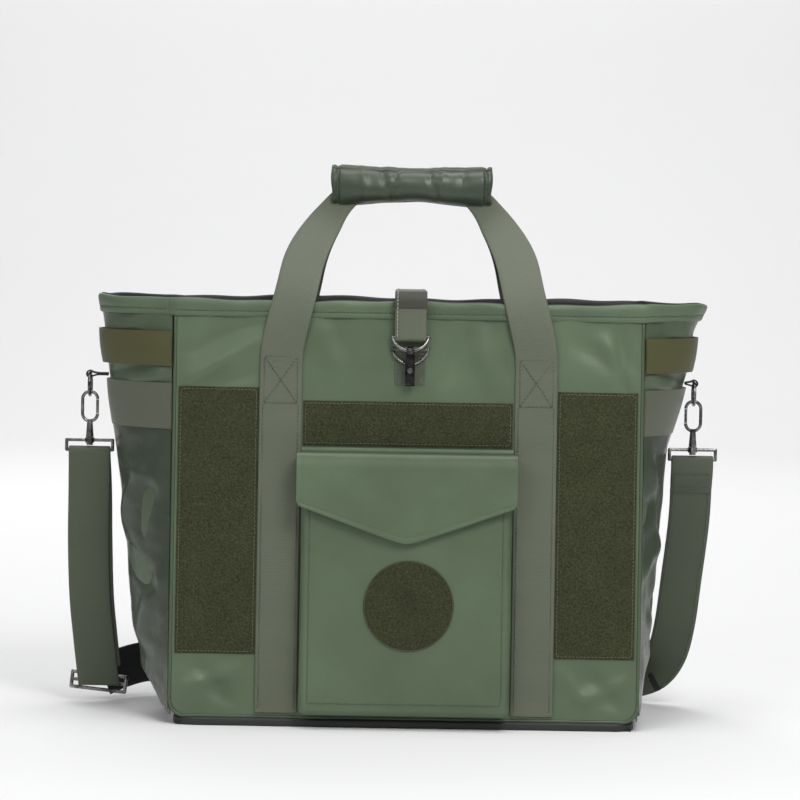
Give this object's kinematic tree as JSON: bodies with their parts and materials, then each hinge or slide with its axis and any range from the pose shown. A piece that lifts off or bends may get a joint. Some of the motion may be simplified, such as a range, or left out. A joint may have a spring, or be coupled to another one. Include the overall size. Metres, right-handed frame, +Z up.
{
  "type": "flight bag",
  "caption": "Open-topped flight bag of coated cloth with webbing handles, a padded grip wrap, a snap-hook closure, a flapped front pocket and a clip-on shoulder strap.",
  "frame": {"origin": "centre of the base's resting face, on the floor", "axes": "+X to the right as seen from the front, -Y towards the front pocket, +Z up"},
  "size_m": [0.5957, 0.2143, 0.5005],
  "materials": {
    "coated_nylon": "plain-woven nylon with a satin polyurethane coat",
    "base_cloth": "the same cloth, darker in the base and bellows",
    "webbing": "ribbed polyester webbing",
    "loop_pile": "matt brushed loop pile",
    "elastic_band": "flat ribbed elastic",
    "pocket_hem": "folded cloth hem, sewn",
    "black_lining": "matt woven polyester",
    "black_binding": "woven binding tape and piping",
    "foam": "closed-cell foam sheet",
    "stiffener": "flat polyethylene board",
    "gunmetal": "polished dark plating on zinc and steel wire",
    "black_metal": "satin black plating"
  },
  "bodies": {
    "bag": {"front_panel": "coated_nylon", "back_panel": "coated_nylon", "panel_foam": "foam", "gusset_left": "coated_nylon", "gusset_right": "coated_nylon", "base_panel": "base_cloth", "base_binding": "black_binding", "base_board": "stiffener", "lining": "black_lining", "laptop_sleeve": "black_lining", "top_hem": "coated_nylon", "piping_front": "black_binding", "piping_back": "black_binding", "loop_panel_left": "loop_pile", "loop_panel_right": "loop_pile", "loop_panel_center": "loop_pile", "loop_patch_round": "loop_pile", "pocket_front": "coated_nylon", "pocket_gusset": "base_cloth", "pocket_fold": "coated_nylon", "pocket_loop_strips": "loop_pile", "strap_front_left": "webbing", "strap_front_right": "webbing", "strap_back_left": "webbing", "strap_back_right": "webbing", "side_band_left": "elastic_band", "side_band_right": "elastic_band", "side_pocket_left": "coated_nylon", "side_pocket_right": "coated_nylon", "side_hem_left": "pocket_hem", "side_hem_right": "pocket_hem", "ring_tab_left": "black_binding", "ring_tab_right": "black_binding", "side_ring_left": "gunmetal", "side_ring_right": "gunmetal", "closure_tab": "webbing", "closure_anchor": "webbing"},
    "front_handle": {"handle_front": "webbing", "handle_wrap": "coated_nylon"},
    "wrap_flap": {"handle_wrap_flap": "coated_nylon"},
    "back_handle": {"handle_back": "webbing"},
    "flap": {"pocket_flap": "coated_nylon", "pocket_hook_strips": "loop_pile"},
    "closure": {"closure_strap": "webbing"},
    "closure_end": {"closure_strap_end": "webbing", "closure_eye": "gunmetal"},
    "trigger_hook": {"closure_hook": "black_metal"},
    "trigger": {"closure_trigger": "gunmetal"},
    "tab_ring": {"closure_ring": "gunmetal"},
    "carry_strap": {"shoulder_strap": "webbing", "shoulder_strap_loop": "webbing", "strap_slider": "gunmetal", "strap_eye_left": "gunmetal", "strap_eye_right": "gunmetal"},
    "hook_left": {"snap_hook_left": "gunmetal"},
    "hook_right": {"snap_hook_right": "gunmetal"},
    "gate_left": {"snap_gate_left": "gunmetal"},
    "gate_right": {"snap_gate_right": "gunmetal"}
  },
  "joints": [
    {"name": "front_handle_swing", "type": "hinge", "parent": "bag", "child": "front_handle", "pos_m": [0, -0.0666, 0.384], "axis": [1, 0, 0], "range_deg": [0, 195]},
    {"name": "wrap_flap_open", "type": "hinge", "parent": "front_handle", "child": "wrap_flap", "pos_m": [0, 0.0003, 0.46475], "axis": [-1, 0, 0], "range_deg": [0, 75], "deforming": ["handle_wrap_flap"]},
    {"name": "back_handle_swing", "type": "hinge", "parent": "bag", "child": "back_handle", "pos_m": [0, 0.0666, 0.384], "axis": [-1, 0, 0], "range_deg": [0, 195]},
    {"name": "pocket_flap_lift", "type": "hinge", "parent": "bag", "child": "flap", "pos_m": [0, -0.09274, 0.24183], "axis": [-1, 0, 0], "range_deg": [0, 100]},
    {"name": "closure_swing", "type": "hinge", "parent": "bag", "child": "closure", "pos_m": [0.001, 0.066, 0.386], "axis": [-1, 0, 0], "range_deg": [0, 262], "deforming": ["closure_strap", "closure_strap_end"]},
    {"name": "closure_end_bend", "type": "hinge", "parent": "closure", "child": "closure_end", "pos_m": [0.001, -0.066, 0.386], "axis": [-1, 0, 0], "range_deg": [0, 90]},
    {"name": "trigger_hook_swivel", "type": "hinge", "parent": "closure_end", "child": "trigger_hook", "pos_m": [0.001, -0.0732, 0.3363], "axis": [0, 0, 1], "continuous": true},
    {"name": "trigger_slide", "type": "slide", "parent": "trigger_hook", "child": "trigger", "axis": [0, 0, -1], "range_m": [0, 0.006], "stiffness_N_per_m": 150},
    {"name": "tab_ring_play", "type": "hinge", "parent": "bag", "child": "tab_ring", "pos_m": [0.001, -0.0657, 0.33746], "axis": [-1, 0, 0], "range_deg": [0, 10]},
    {"name": "carry_strap_swing", "type": "hinge", "parent": "bag", "child": "carry_strap", "pos_m": [0, 0, 0.298], "axis": [1, 0, 0], "range_deg": [0, 115]},
    {"name": "hook_left_swivel", "type": "hinge", "parent": "carry_strap", "child": "hook_left", "pos_m": [-0.29026, 0, 0.25], "axis": [0, 0, 1], "range_deg": [-40, 40]},
    {"name": "hook_right_swivel", "type": "hinge", "parent": "carry_strap", "child": "hook_right", "pos_m": [0.26036, 0, 0.25], "axis": [0, 0, 1], "range_deg": [-40, 40]},
    {"name": "gate_left_press", "type": "hinge", "parent": "hook_left", "child": "gate_left", "pos_m": [-0.28346, 0, 0.2715], "axis": [0, -1, 0], "range_deg": [0, 22], "stiffness_Nm_per_rad": 0.02},
    {"name": "gate_right_press", "type": "hinge", "parent": "hook_right", "child": "gate_right", "pos_m": [0.25356, 0, 0.2715], "axis": [0, 1, 0], "range_deg": [0, 22], "stiffness_Nm_per_rad": 0.02}
  ],
  "couplings": [
    {"joint": "closure_end_bend", "follows": "closure_swing", "ratio": 0.34351}
  ]
}
